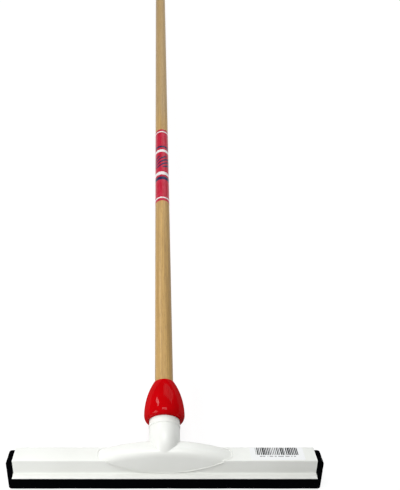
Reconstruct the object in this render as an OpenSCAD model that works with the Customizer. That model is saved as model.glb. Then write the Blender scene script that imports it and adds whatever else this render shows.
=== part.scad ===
// Floor squeegee with a double foam blade, a screw clamp and a wooden handle.
// It lies as it is put down: on the rear blade's edge and the tip of the handle.
// X runs along the blades, +Y along the handle, +Z up, and the floor is z = 0.
// The origin is the middle of the flat on which the rear blade rests.

/* [Channel] */
// Length of the channel that holds the blades
channel_l = 382; // [300:1:600]
// Outer depth of the channel, front wall to rear wall
channel_d = 24; // [20:0.5:32]
// Height of the channel walls, top face to lip
channel_h = 19.5; // [16:0.5:30]
// Thickness of the channel walls
wall_t = 2; // [1.4:0.1:2.6]
// Thickness of the top of the channel
top_t = 2.4; // [1.6:0.1:4]
// Thickness of the web between the two blades
web_t = 1.6; // [1:0.1:3]
// Depth of the web below the top of the channel
web_h = 10; // [5:0.5:13]
// Reach of each lip beyond its wall
lip_reach = 8.5; // [4:0.5:14]
// Thickness of each lip
lip_t = 0.9; // [0.8:0.1:2.5]
// Drop of each lip from its wall to its outer edge
lip_drop = 0.2; // [0.2:0.1:3]
// Width of the lower outer half of each lip
step_w = 4; // [2:0.1:5]
// Height of the step between the two halves of each lip
step_h = 0.8; // [0.3:0.1:1]
// Height of the ribs that grip the blades
rib_h = 0.9; // [0.4:0.1:1.2]

/* [Blades] */
// Reach of the foam blades beyond each end of the channel
blade_over = 9; // [3:0.5:20]
// Height of blade that shows below the channel walls
blade_show = 30.2; // [12:0.5:45]
// Depth of the flat on which the rear blade rests
foot_sink = 1; // [0.5:0.1:2]

/* [Saddle] */
// Length of the boss on the top of the channel, tip to tip
boss_l = 168; // [140:1:240]
// Rise of the boss above the top of the channel
boss_rise = 15.4; // [12:0.2:18]
// Reach of the boss down the walls of the channel
boss_drop = 18.5; // [14:0.5:19]
// Length of the boss along the top edge of each wall
boss_foot_l = 152; // [120:1:200]
// Thickness of the boss on the walls
boss_t = 1; // [0.6:0.1:2]
// Radius of the rounded upper edges of the boss
boss_round = 10; // [6:0.5:11]
// Depth of the foot of the neck's axis below the top of the channel
neck_sink = 3.5; // [2:0.5:5]
// Shift of the foot of the neck along the handle's axis
neck_at = 5.3; // [5.3:0.1:7]
// Outer diameter of the neck
neck_d = 40; // [38:0.5:40.5]
// Tilt of the foot of the neck above the top of the channel, degrees
stub_tilt = 60; // [52:1:62]
// Tilt of the handle above the top of the channel, degrees
handle_tilt = 23.5; // [20:0.5:30]
// Height of the handle axis above the boss axis
axis_lift = 7.5; // [4:0.5:10]
// Swell of the elbow over the neck
elbow_swell = 0.25; // [0.2:0.05:0.6]
// Distance of the socket floor from the boss
socket_at = 15; // [14:0.5:24]
// Distance of the neck shoulder from the boss
shoulder_at = 48.5; // [46:0.5:56]
// Distance of the collar on the neck from the boss
collar_at = 33.2; // [32:0.1:34]
// Width of the collar on the neck
collar_w = 2.5; // [1:0.1:3]
// Height of the collar above the neck
collar_h = 0.6; // [0.2:0.1:1]

/* [Clamp] */
// Diameter of the threaded spigot
spigot_d = 35; // [33:0.5:36]
// Length of the threaded spigot
spigot_l = 25; // [20:0.5:28]
// Length of the clamp nut
nut_l = 55.6; // [53:0.2:56]
// Greatest diameter of the clamp nut
nut_d = 53.6; // [53.2:0.2:58]
// Radius of the arc that shapes the side of the nut
nut_arc = 92; // [92:1:140]
// Depth by which the skirt of the nut covers the neck
skirt_l = 6.5; // [5:0.5:9]
// Length of the rounded lower edge of the nut
nut_chamfer_l = 9; // [8.5:0.5:11]
// Width of the rounded lower edge of the nut
nut_chamfer_w = 5.6; // [4:0.2:5.6]
// Radius of the rounded upper edge of the nut
nut_top_r = 1.5; // [1:0.5:2]
// Length of the split sleeve under the nut
sleeve_l = 11; // [7:0.5:12]
// Foot diameter of the split sleeve
sleeve_d = 35.4; // [32:0.2:36]
// Top diameter of the split sleeve
sleeve_top_d = 29; // [28.4:0.2:30]
// Width of the split in the sleeve
split_w = 3; // [1:0.5:5]

/* [Handle] */
// Diameter of the wooden handle
handle_d = 25; // [24:0.1:25.4]
// Length of the wooden handle
handle_l = 1400; // [1000:5:1600]
// Radius of the rounded end of the handle
tip_r = 9; // [2:0.5:11]
// Radius of the eased edge at the foot of the handle
foot_r = 1.5; // [0.5:0.1:4]

/* [Labels] */
// Distance of the film label from the nut
label_at = 355.5; // [100:0.5:500]
// Length of the film label
label_l = 211; // [100:1:260]
// Thickness of the film label
label_t = 0.15; // [0.1:0.05:0.4]
// Distance of the sticker from the end of the channel
sticker_gap = 14.5; // [8:0.5:60]
// Width of the sticker
sticker_w = 68; // [40:1:70]
// Depth of the sticker
sticker_d = 21; // [12:0.5:22]
// Thickness of the sticker
sticker_t = 0.12; // [0.1:0.02:0.3]

/* [Fits] */
// Clearance between pieces that slide or turn on each other
fit = 0.3; // [0.2:0.05:0.4]
// Clearance between the skirt of the nut and the neck
skirt_fit = 0.6; // [0.5:0.1:0.7]

/* [Hidden] */
$fn = 96;

half_d = channel_d / 2;
inner_d = half_d - wall_t;
lip_edge = half_d + lip_reach;
lip_top = channel_h + lip_drop;

// Each blade fills its pocket between the web and a wall, less the clearance.
blade_l = channel_l + 2 * blade_over;
blade_in = web_t / 2 + fit;
blade_out = inner_d - fit;
blade_top = top_t + fit;
blade_foot = channel_h + blade_show;
rib_at = channel_h - 2.5 * rib_h;

// The boss is a rounded bar bent to one arc and cut off on the walls along another.
boss_d = half_d + boss_t;
boss_arc = (pow(boss_l / 2, 2) + pow(boss_rise, 2)) / (2 * boss_rise);
foot_arc = (pow(boss_foot_l / 2, 2) + pow(boss_drop, 2)) / (2 * boss_drop);
neck_r = neck_d / 2;
handle_r = handle_d / 2;
bore_r = handle_r + fit;

// The neck leaves the boss at one tilt and meets the handle's axis at the elbow.
bend = stub_tilt - handle_tilt;
stub_l = axis_lift / sin(bend);
elbow_at = neck_at + axis_lift / tan(bend);

nut_r = nut_d / 2;
nut_foot_at = shoulder_at - skirt_l;
nut_belt_at = nut_foot_at + nut_chamfer_l;
nut_top_at = nut_foot_at + nut_l;
// The rounded upper edge starts where its arc meets the flank's arc without a kink.
nut_flank_end = (nut_top_at - nut_top_r - nut_top_r * nut_belt_at / nut_arc) / (1 - nut_top_r / nut_arc);
nut_lean = asin((nut_flank_end - nut_belt_at) / nut_arc);
nut_steps = 20;
skirt_r = neck_r + skirt_fit;
spigot_r = spigot_d / 2;
spigot_end = shoulder_at + spigot_l;
sleeve_at = spigot_end + fit;
sleeve_end = sleeve_at + sleeve_l;
label_foot = nut_top_at + label_at;

// Lying angle: the foot of the rear blade and the tip of the handle touch one floor.
handle_end = socket_at + handle_l;
lean_sin = axis_lift * sin(handle_tilt) - (handle_end - tip_r) * cos(handle_tilt)
           - (handle_r - tip_r) * sin(handle_tilt) + blade_out;
lean_cos = axis_lift * cos(handle_tilt) - neck_sink + (handle_end - tip_r) * sin(handle_tilt)
           - (handle_r - tip_r) * cos(handle_tilt) + blade_foot;
lie = acos((tip_r + foot_sink) / norm([lean_sin, lean_cos])) - atan2(-lean_sin, lean_cos);
foot_y = blade_out * cos(lie) - blade_foot * sin(lie) + foot_sink * (tan(lie) - 1 / tan(lie)) / 2;
foot_z = -blade_out * sin(lie) - blade_foot * cos(lie) + foot_sink;

// Lays the head frame, whose origin is the middle of the channel's top face, on the floor.
module lay() {
    translate([0, -foot_y, -foot_z]) rotate([-lie, 0, 0]) children();
}

// Moves to the handle's axis: local Z runs up the handle, from the boss.
module on_handle() {
    translate([0, -axis_lift * sin(handle_tilt), axis_lift * cos(handle_tilt) - neck_sink])
        rotate([handle_tilt - 90, 0, 0]) children();
}

// Extrudes an outline given in depth and height along the whole length l.
module along_head(l) {
    rotate([90, 0, 90]) translate([0, 0, -l / 2]) linear_extrude(l) children();
}

function nut_radius(t) =
    nut_r - nut_arc + sqrt(nut_arc * nut_arc - pow(t - nut_belt_at, 2));

// White extruded channel with two pockets, open at both ends: walls with grip ribs, and lips in two steps.
module channel() {
    step_drop = lip_drop * (lip_reach - step_w) / lip_reach;
    side = [
        [half_d, 0],
        [half_d, -channel_h],
        [lip_edge - step_w, -channel_h - step_drop],
        [lip_edge - step_w, -channel_h - step_drop - step_h],
        [lip_edge, -lip_top - step_h],
        [lip_edge, -lip_top - step_h - lip_t],
        [inner_d, -channel_h - lip_t],
        [inner_d, -rib_at - rib_h],
        [inner_d - rib_h, -rib_at],
        [inner_d, -rib_at + rib_h],
        [inner_d, -top_t],
        [web_t / 2, -top_t],
        [web_t / 2, -top_t - web_h],
    ];
    other_side = [for (i = [len(side) - 1 : -1 : 0]) [-side[i][0], side[i][1]]];
    color("whitesmoke") lay() along_head(channel_l) polygon(concat(side, other_side));
}

// White moulded saddle: the boss that straddles the channel, with the neck and its threaded spigot.
module saddle() {
    color("white") lay() difference() {
        union() {
            boss();
            translate([0, neck_at * cos(handle_tilt), neck_at * sin(handle_tilt) - neck_sink])
                rotate([stub_tilt - 90, 0, 0]) cylinder(h = stub_l, r = neck_r);
            on_handle() {
                translate([0, 0, elbow_at]) sphere(r = neck_r + elbow_swell);
                translate([0, 0, elbow_at]) cylinder(h = shoulder_at - elbow_at, r = neck_r);
                translate([0, 0, collar_at]) cylinder(h = collar_w, r = neck_r + collar_h);
                translate([0, 0, shoulder_at]) cylinder(h = spigot_l, r = spigot_r);
            }
        }
        along_head(2 * boss_l) translate([-half_d, -2 * channel_d]) square([channel_d, 2 * channel_d]);
        on_handle() translate([0, 0, socket_at]) cylinder(h = spigot_end, r = bore_r);
    }
}

// Boss: a ring of rounded section about the depth axis, of which only the crown over the channel is kept.
module boss() {
    steps = 8;
    corner = [for (i = [0 : steps]) let (a = 90 * i / steps)
        [boss_arc - boss_round * (1 - sin(a)), boss_d - boss_round * (1 - cos(a))]];
    other_corner = [for (i = [steps : -1 : 0]) [corner[i][0], -corner[i][1]]];
    inner = boss_arc - boss_rise - channel_d;
    intersection() {
        translate([0, 0, boss_rise - boss_arc]) rotate([90, 0, 0]) rotate_extrude()
            polygon(concat([[inner, boss_d]], corner, other_corner, [[inner, -boss_d]]));
        union() {
            translate([0, 0, foot_arc - boss_drop]) rotate([90, 0, 0])
                cylinder(h = 2 * channel_d, r = foot_arc, center = true);
            translate([-boss_l, -channel_d, -boss_t]) cube([2 * boss_l, 2 * channel_d, 2 * boss_rise]);
        }
    }
}

// A blade's outline: a strip in its pocket with a groove for the grip rib.
module blade_outline() {
    groove = rib_h + fit;
    polygon([
        [blade_in, -blade_top],
        [blade_out, -blade_top],
        [blade_out, -rib_at + groove],
        [blade_out + fit - groove, -rib_at],
        [blade_out, -rib_at - groove],
        [blade_out, -blade_foot],
        [blade_in, -blade_foot],
    ]);
}

// Black foam blade on the side away from the handle.
module front_blade() {
    color("black") lay() along_head(blade_l) mirror([1, 0]) blade_outline();
}

// Black foam blade on the handle's side, pressed flat where it rests on the floor.
module rear_blade() {
    color("black") difference() {
        lay() along_head(blade_l) blade_outline();
        translate([-blade_l, -channel_d, -channel_d]) cube([2 * blade_l, 2 * channel_d, channel_d]);
    }
}

// Split conical sleeve that the nut squeezes onto the handle.
module clamp_sleeve() {
    color("ivory") lay() on_handle() translate([0, 0, sleeve_at]) difference() {
        cylinder(h = sleeve_l, d1 = sleeve_d, d2 = sleeve_top_d);
        translate([0, 0, -sleeve_l]) cylinder(h = 3 * sleeve_l, r = bore_r);
        translate([-split_w / 2, 0, -sleeve_l]) cube([split_w, sleeve_d, 3 * sleeve_l]);
    }
}

// Red clamp nut: an arched cone with a rounded foot, bored for the neck, the spigot, the sleeve and the handle.
module clamp_nut() {
    flank = [for (i = [0 : nut_steps])
        let (t = nut_belt_at + (nut_flank_end - nut_belt_at) * i / nut_steps) [nut_radius(t), t]];
    round_foot = [for (i = [0 : 6]) let (a = 90 * i / 6)
        [nut_r - nut_chamfer_w * (1 - sin(a)), nut_belt_at - nut_chamfer_l * cos(a)]];
    round_top = [for (i = [1 : 6]) let (a = nut_lean + (90 - nut_lean) * i / 6)
        [nut_radius(nut_flank_end) + nut_top_r * (cos(a) - cos(nut_lean)),
         nut_flank_end + nut_top_r * (sin(a) - sin(nut_lean))]];
    inside = [
        [bore_r, nut_top_at],
        [bore_r, sleeve_end + fit],
        [sleeve_top_d / 2 + fit, sleeve_end + fit],
        [sleeve_d / 2 + fit, sleeve_at],
        [sleeve_d / 2 + fit, spigot_end],
        [spigot_r + fit, spigot_end],
        [spigot_r + fit, shoulder_at + fit],
        [skirt_r, shoulder_at + fit],
        [skirt_r, nut_foot_at],
    ];
    outside = [for (i = [0 : len(round_foot) - 2]) round_foot[i]];
    color("crimson") lay() on_handle() rotate_extrude() polygon(concat(outside, flank, round_top, inside));
}

// Wooden handle with a rounded end, seated on the floor of the socket.
module handle() {
    steps = 8;
    foot = [for (i = [0 : steps]) let (a = 90 * i / steps)
        [handle_r - foot_r + foot_r * sin(a), foot_r - foot_r * cos(a)]];
    tip = [for (i = [0 : steps]) let (a = 90 * i / steps)
        [handle_r - tip_r + tip_r * cos(a), handle_l - tip_r + tip_r * sin(a)]];
    color("burlywood") lay() on_handle() translate([0, 0, socket_at])
        rotate_extrude() polygon(concat([[0, 0]], foot, tip, [[0, handle_l]]));
}

// Red film label shrunk round the handle.
module handle_label() {
    color("firebrick") lay() on_handle() translate([0, 0, label_foot]) difference() {
        cylinder(h = label_l, r = handle_r + label_t);
        translate([0, 0, -label_l]) cylinder(h = 3 * label_l, r = handle_r);
    }
}

// White sticker on the top face of the channel.
module barcode_sticker() {
    color("white") lay() translate([channel_l / 2 - sticker_gap - sticker_w, -sticker_d / 2, 0])
        cube([sticker_w, sticker_d, sticker_t]);
}

channel();
saddle();
front_blade();
rear_blade();
clamp_sleeve();
clamp_nut();
handle();
handle_label();
barcode_sticker();
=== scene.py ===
"""Floor squeegee put down on a pale floor: its pieces, finishes, light and camera."""

import logging
import math
from dataclasses import dataclass
from enum import Enum
from typing import Any, Iterable, Optional, Sequence, Union

import bmesh
import bpy
from mathutils import Matrix, Vector

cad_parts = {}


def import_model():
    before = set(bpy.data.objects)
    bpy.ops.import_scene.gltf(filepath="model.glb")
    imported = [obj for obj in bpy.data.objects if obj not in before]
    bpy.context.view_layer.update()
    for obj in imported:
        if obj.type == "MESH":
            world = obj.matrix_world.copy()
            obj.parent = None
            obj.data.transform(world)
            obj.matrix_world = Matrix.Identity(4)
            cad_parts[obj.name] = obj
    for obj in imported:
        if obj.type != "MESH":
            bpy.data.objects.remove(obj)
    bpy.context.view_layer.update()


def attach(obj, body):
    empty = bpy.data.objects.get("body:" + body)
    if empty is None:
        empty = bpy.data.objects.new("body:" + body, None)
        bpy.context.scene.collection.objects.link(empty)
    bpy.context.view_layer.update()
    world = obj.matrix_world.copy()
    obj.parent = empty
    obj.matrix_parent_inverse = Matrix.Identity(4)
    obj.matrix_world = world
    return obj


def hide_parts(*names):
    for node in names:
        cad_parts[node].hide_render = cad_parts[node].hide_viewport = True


LOG = logging.getLogger("squeegee")
MM = 0.001
MERGE_MM = 0.0005
LEVEL_MM = 0.001
CRISP_ANGLE = math.radians(25.0)

Point = tuple[float, float]
Triple = tuple[float, float, float]
Colour = tuple[float, float, float]
Number = Union[float, "Signal"]


class Body(Enum):
    """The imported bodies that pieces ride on."""

    HEAD = "head"
    FRONT_BLADE = "front_blade"
    REAR_BLADE = "rear_blade"
    HANDLE = "handle"
    SLEEVE = "clamp_sleeve"
    NUT = "clamp_nut"


class Slot(Enum):
    """The record's material slots."""

    WHITE = "white_plastic"
    FOAM = "foam_rubber"
    NATURAL = "clear_plastic"
    RED = "red_plastic"
    WOOD = "wood"
    FILM = "label_film"
    PAPER = "sticker_paper"


class Side(Enum):
    """The two sides of the head, by the sign of its depth axis."""

    FRONT = -1
    REAR = 1


def arc(centre: Point, radius: float, start: float, end: float, steps: int) -> list[Point]:
    """Gives points on an arc.

    Args:
        centre: Centre of the arc.
        radius: Radius of the arc.
        start: First angle in degrees.
        end: Last angle in degrees.
        steps: Number of steps from the first point to the last.

    Returns:
        The points, both ends included.
    """
    points = []
    for i in range(steps + 1):
        angle = math.radians(start + (end - start) * i / steps)
        points.append((centre[0] + radius * math.cos(angle), centre[1] + radius * math.sin(angle)))
    return points


@dataclass(frozen=True)
class Layout:
    """Sizes in millimetres that several pieces share, and how the head lies on the floor.

    The head's own frame has X along the blades, Y towards the handle and Z up from the channel's top.
    """

    channel_l: float = 382.0
    channel_d: float = 24.0
    channel_h: float = 19.5
    wall_t: float = 2.0
    top_t: float = 2.4
    web_t: float = 1.6
    web_h: float = 10.0
    rib_h: float = 0.9
    rib_heights_up: float = 2.5
    ridge_r: float = 1.4
    ridge_steps: int = 5
    fit: float = 0.3
    blade_over: float = 9.0
    blade_show: float = 30.2
    foot_sink: float = 1.0
    neck_sink: float = 3.5
    handle_tilt: float = math.radians(23.5)
    axis_lift: float = 7.5
    socket_at: float = 15.0
    shoulder_at: float = 48.5
    spigot_d: float = 35.0
    spigot_l: float = 25.0
    neck_d: float = 40.0
    nut_l: float = 55.6
    skirt_l: float = 6.5
    handle_d: float = 25.0
    handle_l: float = 1400.0
    tip_r: float = 9.0
    label_at: float = 355.5
    label_l: float = 211.0
    label_t: float = 0.15

    @property
    def blade_in(self) -> float:
        """Depth of a blade's inner face."""
        return self.web_t / 2 + self.fit

    @property
    def blade_out(self) -> float:
        """Depth of a blade's outer face."""
        return self.channel_d / 2 - self.wall_t - self.fit

    @property
    def blade_foot(self) -> float:
        """Drop of a blade's lower edge below the channel's top."""
        return self.channel_h + self.blade_show

    @property
    def rib_at(self) -> float:
        """Drop of the grip ribs below the channel's top."""
        return self.channel_h - self.rib_heights_up * self.rib_h

    @property
    def bore_r(self) -> float:
        """Radius of the bores that take the handle."""
        return self.handle_d / 2 + self.fit

    @property
    def nut_foot_at(self) -> float:
        """Place of the nut's foot on the handle's axis."""
        return self.shoulder_at - self.skirt_l

    @property
    def nut_top_at(self) -> float:
        """Place of the nut's top on the handle's axis."""
        return self.nut_foot_at + self.nut_l

    @property
    def spigot_end(self) -> float:
        """Place of the spigot's end on the handle's axis."""
        return self.shoulder_at + self.spigot_l

    @property
    def label_foot(self) -> float:
        """Place of the label's lower end on the handle's axis."""
        return self.nut_top_at + self.label_at

    @property
    def handle_end(self) -> float:
        """Place of the handle's tip on its axis."""
        return self.socket_at + self.handle_l

    @property
    def lie(self) -> float:
        """Angle by which the head leans so that blade and handle tip touch one floor."""
        tilt = self.handle_tilt
        reach = self.handle_end - self.tip_r
        inset = self.handle_d / 2 - self.tip_r
        with_sin = self.axis_lift * math.sin(tilt) - reach * math.cos(tilt)
        with_sin += self.blade_out - inset * math.sin(tilt)
        with_cos = self.axis_lift * math.cos(tilt) + reach * math.sin(tilt)
        with_cos += self.blade_foot - self.neck_sink - inset * math.cos(tilt)
        rise = (self.tip_r + self.foot_sink) / math.hypot(with_sin, with_cos)
        return math.acos(rise) - math.atan2(-with_sin, with_cos)

    def head_place(self) -> Matrix:
        """Gives the matrix from the head's own frame in millimetres to the floor's frame in metres."""
        lie = self.lie
        wide = math.tan(lie) - 1 / math.tan(lie)
        foot_y = self.blade_out * math.cos(lie) - self.blade_foot * math.sin(lie) + self.foot_sink * wide / 2
        foot_z = -self.blade_out * math.sin(lie) - self.blade_foot * math.cos(lie) + self.foot_sink
        down = Matrix.Translation((0, -foot_y, -foot_z))
        return Matrix.Scale(MM, 4) @ down @ Matrix.Rotation(-lie, 4, "X")

    def handle_place(self) -> Matrix:
        """Gives the matrix from the handle's frame, with Z up its axis, to the floor's frame."""
        tilt = self.handle_tilt
        lift = self.axis_lift
        foot = Matrix.Translation((0, -lift * math.sin(tilt), lift * math.cos(tilt) - self.neck_sink))
        return self.head_place() @ foot @ Matrix.Rotation(tilt - math.pi / 2, 4, "X")


class Signal:
    """A node's output, or part of it, on which Python arithmetic adds Math nodes."""

    def __init__(self, graph: "Graph", socket: Optional[bpy.types.NodeSocket]) -> None:
        """Keeps the graph and the socket."""
        self.graph = graph
        self.socket = socket

    def maths(self, operation: str, *others: Number, swap: bool = False) -> "Signal":
        """Adds one Math node.

        Args:
            operation: Blender's name of the operation.
            others: The other operands.
            swap: Puts this signal after the first of the others.

        Returns:
            The node's output.
        """
        operands = [self, *others]
        if swap:
            operands[0], operands[1] = operands[1], operands[0]
        inputs = dict(enumerate(operands))
        return self.graph.add("ShaderNodeMath", {"operation": operation}, inputs)

    def __add__(self, other: Number) -> "Signal":
        """Adds a number or signal."""
        return self.maths("ADD", other)

    __radd__ = __add__

    def __sub__(self, other: Number) -> "Signal":
        """Takes a number or signal away."""
        return self.maths("SUBTRACT", other)

    def __rsub__(self, other: Number) -> "Signal":
        """Takes this signal from a number."""
        return self.maths("SUBTRACT", other, swap=True)

    def __mul__(self, other: Number) -> "Signal":
        """Multiplies by a number or signal."""
        return self.maths("MULTIPLY", other)

    __rmul__ = __mul__

    def __truediv__(self, other: Number) -> "Signal":
        """Divides by a number or signal."""
        return self.maths("DIVIDE", other)

    def __gt__(self, other: Number) -> "Signal":
        """Gives 1 where this signal is larger."""
        return self.maths("GREATER_THAN", other)

    def __lt__(self, other: Number) -> "Signal":
        """Gives 1 where this signal is smaller."""
        return self.maths("LESS_THAN", other)

    def within(self, low: float, high: float) -> "Signal":
        """Gives 1 between two limits and 0 outside them."""
        return (self > low) * (self < high)

    def within_any(self, ranges: Sequence[Point]) -> "Signal":
        """Gives 1 inside any of several ranges that lie apart."""
        first, *rest = [self.within(low, high) for low, high in ranges]
        return sum(rest, first)

    def spread(self, low: float, high: float) -> "Signal":
        """Maps a range of values smoothly onto 0 to 1, and clamps to it."""
        inputs = {"Value": self, "From Min": low, "From Max": high}
        return self.graph.add("ShaderNodeMapRange", {"interpolation_type": "SMOOTHSTEP"}, inputs)


class Graph:
    """The node tree of one material."""

    def __init__(self, name: str) -> None:
        """Starts a material with an empty tree.

        Args:
            name: Name of the material.
        """
        self.material = bpy.data.materials.new(name)
        self.material.use_nodes = True
        self.tree = self.material.node_tree
        self.tree.nodes.clear()

    def add(self, kind: str, settings: Optional[dict[str, Any]] = None,
            inputs: Optional[dict[Union[str, int], Any]] = None, output: Union[str, int] = 0) -> Signal:
        """Adds any node.

        Args:
            kind: Blender's type of the node.
            settings: Properties of the node, set first.
            inputs: Values or signals for its sockets, by name or number.
            output: The output to return, by name or number.

        Returns:
            The chosen output.
        """
        node = self.tree.nodes.new(kind)
        for key, value in (settings or {}).items():
            setattr(node, key, value)
        for key, value in (inputs or {}).items():
            if isinstance(value, Signal):
                self.tree.links.new(value.socket, node.inputs[key])
            else:
                node.inputs[key].default_value = value
        return Signal(self, node.outputs[output] if node.outputs else None)

    def coordinates(self, place: Matrix) -> Signal:
        """Gives Object coordinates in millimetres of a frame.

        Args:
            place: Matrix from that frame to the floor's frame.

        Returns:
            The coordinates as a vector.
        """
        into = place.inverted()
        turn = into.to_3x3().normalized().to_4x4()
        inputs = {
            "Vector": self.add("ShaderNodeTexCoord", output="Object"),
            "Location": into.to_translation(),
            "Rotation": turn.to_euler("XYZ"),
            "Scale": into.to_scale(),
        }
        return self.add("ShaderNodeMapping", {"vector_type": "POINT"}, inputs)

    def stretch(self, vector: Signal, scale: Triple) -> Signal:
        """Scales a vector by one number an axis."""
        return self.add("ShaderNodeVectorMath", {"operation": "MULTIPLY"}, {0: vector, 1: scale})

    def split(self, vector: Signal) -> list[Signal]:
        """Gives a vector's three components."""
        node = self.add("ShaderNodeSeparateXYZ", inputs={0: vector}).socket.node
        return [Signal(self, socket) for socket in node.outputs]

    def noise(self, vector: Signal, scale: Union[float, Triple], detail: float = 2.0, rough: float = 0.5,
              bend: float = 0.0) -> Signal:
        """Adds fractal noise.

        Args:
            vector: Where it is read.
            scale: Cycles in one unit of the vector, or one such number an axis.
            detail: Number of octaves.
            rough: Share of each next octave.
            bend: Distortion of the pattern.

        Returns:
            Values about 0.5.
        """
        if isinstance(scale, tuple):
            vector = self.stretch(vector, scale)
            scale = 1.0
        inputs = {"Vector": vector, "Scale": scale, "Detail": detail, "Roughness": rough, "Distortion": bend}
        return self.add("ShaderNodeTexNoise", {"noise_dimensions": "3D"}, inputs)

    def chance(self, number: Signal) -> Signal:
        """Gives each number a share between 0 and 1 that is the same in each run."""
        return self.add("ShaderNodeTexWhiteNoise", {"noise_dimensions": "1D"}, {"W": number}, "Value")

    def layers(self, base: Colour, *coats: tuple[Signal, Colour]) -> Signal:
        """Lays colours over each other.

        Args:
            base: The lowest colour.
            coats: The share and the colour of each layer above it.

        Returns:
            The mixed colour.
        """
        tint: Any = (*base, 1.0)
        for share, colour in coats:
            inputs = {0: share, 6: tint, 7: (*colour, 1.0)}
            tint = self.add("ShaderNodeMix", {"data_type": "RGBA", "blend_type": "MIX"}, inputs, 2)
        return tint

    def bump(self, height: Signal, depth: float) -> Signal:
        """Bends the normal by a height of 0 to 1 and a depth in metres."""
        return self.add("ShaderNodeBump", {}, {"Height": height, "Strength": 1.0, "Distance": depth})

    def surface(self, **sockets: Any) -> bpy.types.Material:
        """Ends the tree in a Principled shader.

        Args:
            sockets: Values or signals by socket name, with _ for a space.

        Returns:
            The finished material.
        """
        inputs = {name.replace("_", " "): value for name, value in sockets.items()}
        shader = self.add("ShaderNodeBsdfPrincipled", {}, inputs)
        self.add("ShaderNodeOutputMaterial", {}, {"Surface": shader})
        return self.material


@dataclass(frozen=True)
class WhitePlastic:
    """Smooth white polypropylene with faint draw lines or flow marks, and a few specks."""

    name: str = "white_polypropylene"
    colour: Colour = (0.80, 0.81, 0.775)
    shade: Colour = (0.77, 0.78, 0.742)
    speck: Colour = (0.42, 0.42, 0.4)
    speck_share: float = 0.12
    roughness: float = 0.36
    drawn: bool = False
    line_depth: float = 0.00006
    swirl_depth: float = 0.00012

    def material(self, place: Matrix) -> bpy.types.Material:
        """Builds the material in the frame of its piece.

        Args:
            place: Matrix from the piece's frame to the floor's frame.

        Returns:
            The material.
        """
        g = Graph(self.name)
        at = g.coordinates(place)
        cloud = g.noise(at, 0.02, detail=3.0)
        specks = g.noise(at, 0.9).spread(0.72, 0.8)
        if self.drawn:
            relief = g.noise(at, (0.006, 2.2, 2.2), detail=3.0, rough=0.6)
        else:
            relief = g.noise(at, 0.11, detail=4.0, rough=0.55, bend=0.4)
        depth = self.line_depth if self.drawn else self.swirl_depth
        shading = cloud.spread(0.35, 0.7)
        tint = g.layers(self.colour, (shading, self.shade), (specks * self.speck_share, self.speck))
        rough = self.roughness + 0.1 * (relief - 0.5) + 0.06 * (cloud - 0.5)
        normal = g.bump(relief, depth)
        return g.surface(Base_Color=tint, Roughness=rough, Normal=normal, Specular_IOR_Level=0.45)


@dataclass(frozen=True)
class FoamRubber:
    """Black cellular rubber, cut from sheet, with painted shade in the hollows of its cells."""

    name: str = "cellular_rubber"
    colour: Colour = (0.0009, 0.001, 0.0017)
    # Darker colour for the hollows of the cells: painted shade in the pits.
    painted_pit_shade: Colour = (0.0004, 0.0004, 0.0006)
    dust: Colour = (0.0022, 0.0022, 0.0028)
    dust_share: float = 0.25
    cell_mm: float = 1.1
    cell_depth: float = 0.00016
    roughness: float = 0.86

    def material(self, place: Matrix) -> bpy.types.Material:
        """Builds the material in the frame of its piece.

        Args:
            place: Matrix from the piece's frame to the floor's frame.

        Returns:
            The material.
        """
        g = Graph(self.name)
        at = g.coordinates(place)
        inputs = {"Vector": at, "Scale": 1 / self.cell_mm, "Randomness": 1.0}
        cells = g.add("ShaderNodeTexVoronoi", {"feature": "F1"}, inputs, "Distance")
        pits = cells.spread(0.15, 0.55)
        patches = g.noise(at, 0.05, detail=3.0)
        dusty = patches.spread(0.5, 0.75) * self.dust_share
        # The hollows of the cells, low in the bump, take the darker colour: painted shade in the pits.
        tint = g.layers(self.painted_pit_shade, (pits, self.colour), (dusty, self.dust))
        rough = self.roughness + 0.1 * (patches - 0.5)
        normal = g.bump(pits, self.cell_depth)
        return g.surface(Base_Color=tint, Roughness=rough, Normal=normal, Specular_IOR_Level=0.01)


@dataclass(frozen=True)
class RedGloss:
    """Glossy red moulded plastic."""

    name: str = "glossy_red_plastic"
    colour: Colour = (0.50, 0.0008, 0.003)
    deep: Colour = (0.45, 0.0006, 0.0022)
    roughness: float = 0.14
    peel_depth: float = 0.00004

    def material(self, place: Matrix) -> bpy.types.Material:
        """Builds the material in the frame of its piece.

        Args:
            place: Matrix from the piece's frame to the floor's frame.

        Returns:
            The material.
        """
        g = Graph(self.name)
        at = g.coordinates(place)
        flow = g.noise(at, (0.06, 0.06, 0.025), detail=4.0, rough=0.55, bend=0.6)
        peel = g.noise(at, 0.55)
        scuffs = g.noise(at, (0.5, 0.5, 0.12), detail=5.0, rough=0.7).spread(0.62, 0.72)
        tint = g.layers(self.colour, (flow.spread(0.35, 0.65), self.deep))
        rough = self.roughness + 0.05 * (flow - 0.5) + 0.12 * scuffs
        return g.surface(Base_Color=tint, Roughness=rough, Normal=g.bump(peel, self.peel_depth),
                         Specular_IOR_Level=0.0, Coat_Weight=0.035, Coat_Roughness=0.05, Coat_IOR=2.5)


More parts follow.
